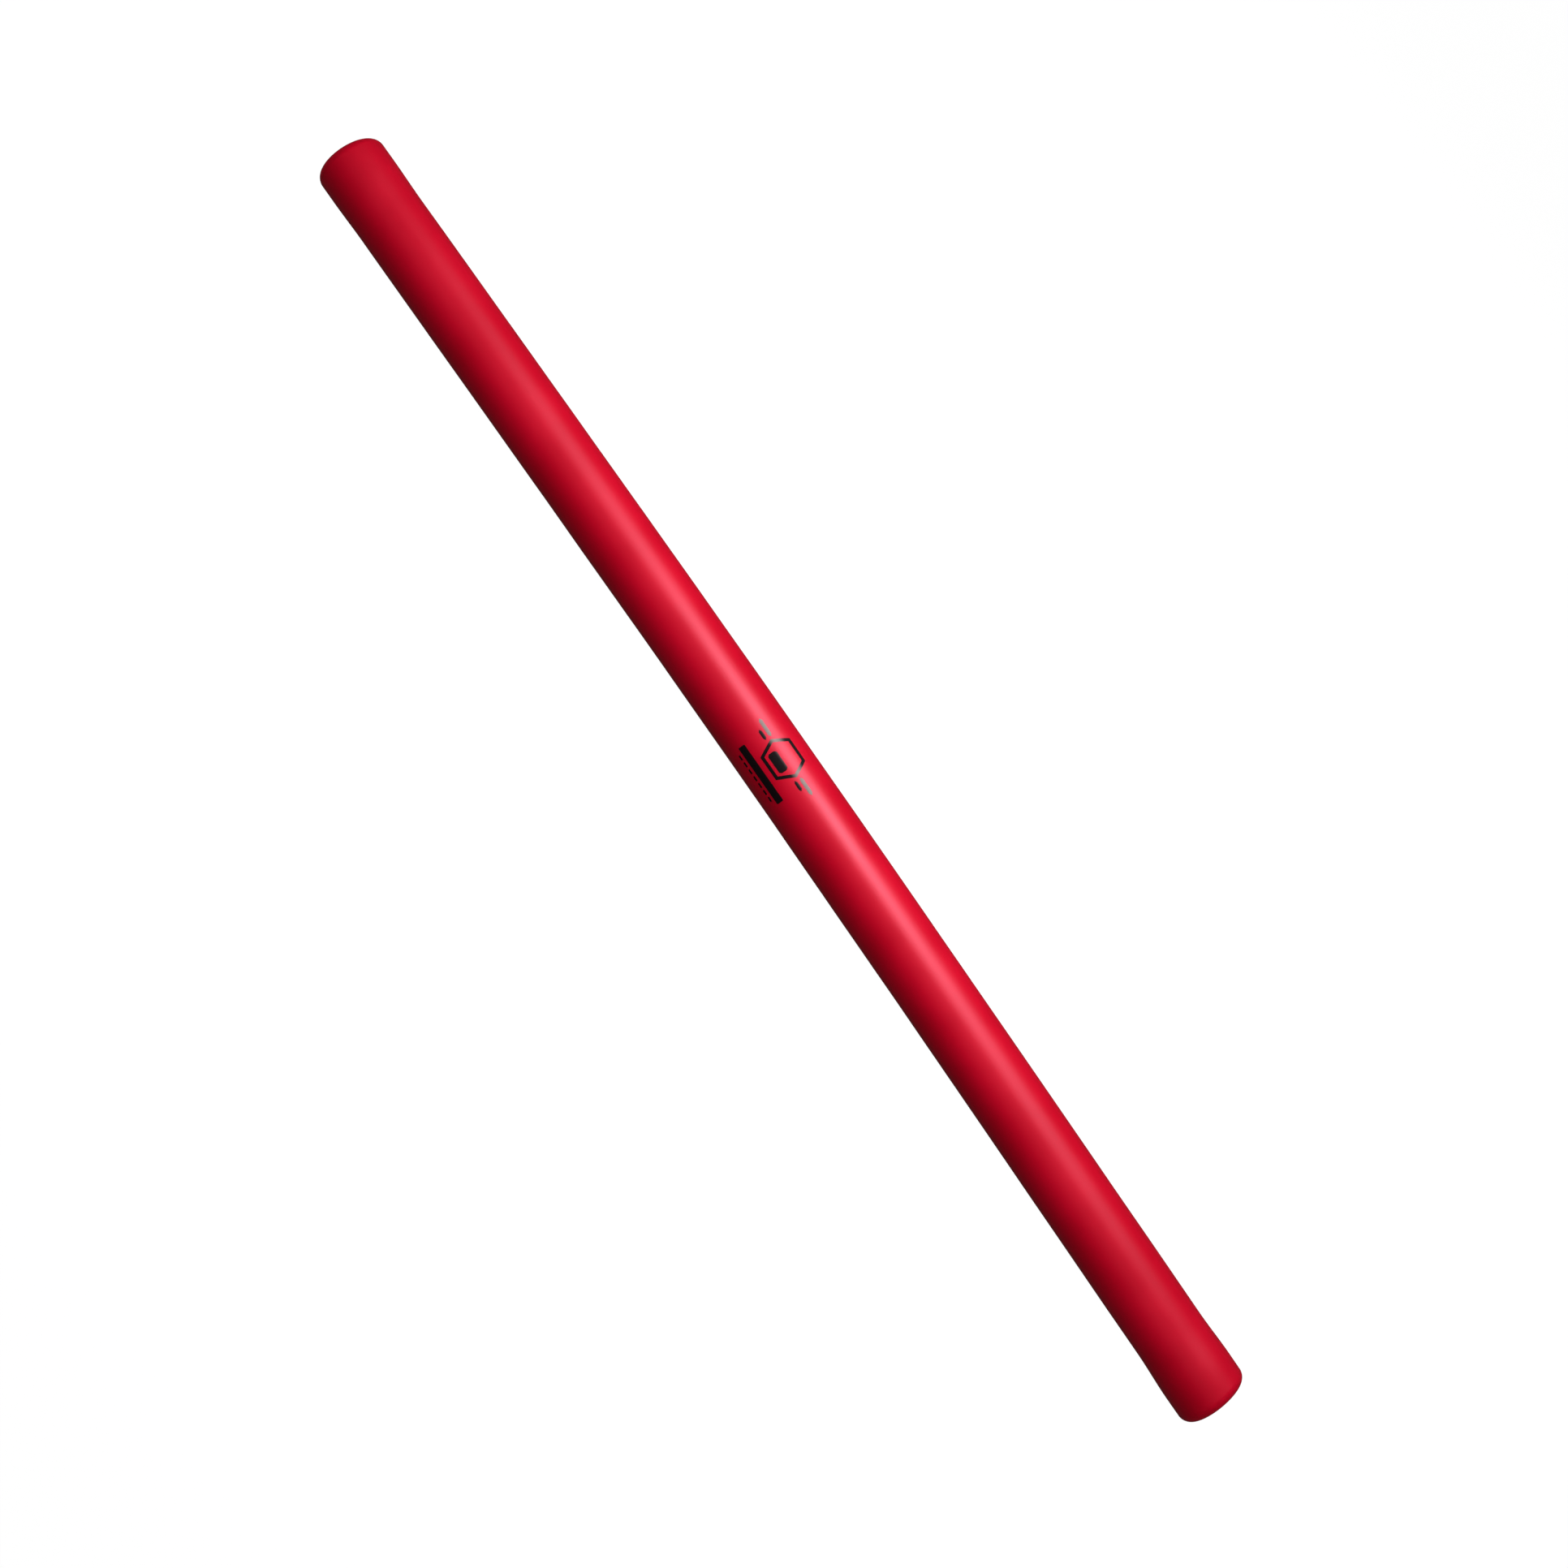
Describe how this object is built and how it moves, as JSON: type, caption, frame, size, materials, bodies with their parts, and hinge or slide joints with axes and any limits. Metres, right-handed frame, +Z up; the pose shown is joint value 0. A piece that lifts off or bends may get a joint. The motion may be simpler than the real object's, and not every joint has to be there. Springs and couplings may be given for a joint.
{
  "type": "padded practice stick",
  "caption": "Straight round practice stick: a plastic core tube padded with foam and dipped in one seamless satin vinyl skin with rounded rims and slightly domed ends.",
  "frame": {"origin": "on the surface that the stick lies on, under the middle of its length and of its width", "axes": "+X along the stick, the way its print runs; +Y across the stick, towards the badge of the print; +Z up, out of the side that carries the print"},
  "size_m": [0.6604, 0.0326, 0.0325],
  "materials": {
    "vinyl": "soft dipped vinyl in deep crimson, satin, seamless, with a faint orange-peel",
    "print_ink": "thin transfer print, black with a dull metallic grey gradient",
    "foam": null,
    "core_plastic": "extruded rigid vinyl tube, off-white, faint lengthwise die lines",
    "plug_plastic": "moulded black plastic, fine matt texture"
  },
  "bodies": {
    "root": {"vinyl_skin": "vinyl", "transfer_print": "print_ink", "foam_sleeve": "foam", "end_pad_left": "foam", "end_pad_right": "foam", "core_tube": "core_plastic", "core_plug_left": "plug_plastic", "core_plug_right": "plug_plastic"}
  },
  "joints": []
}
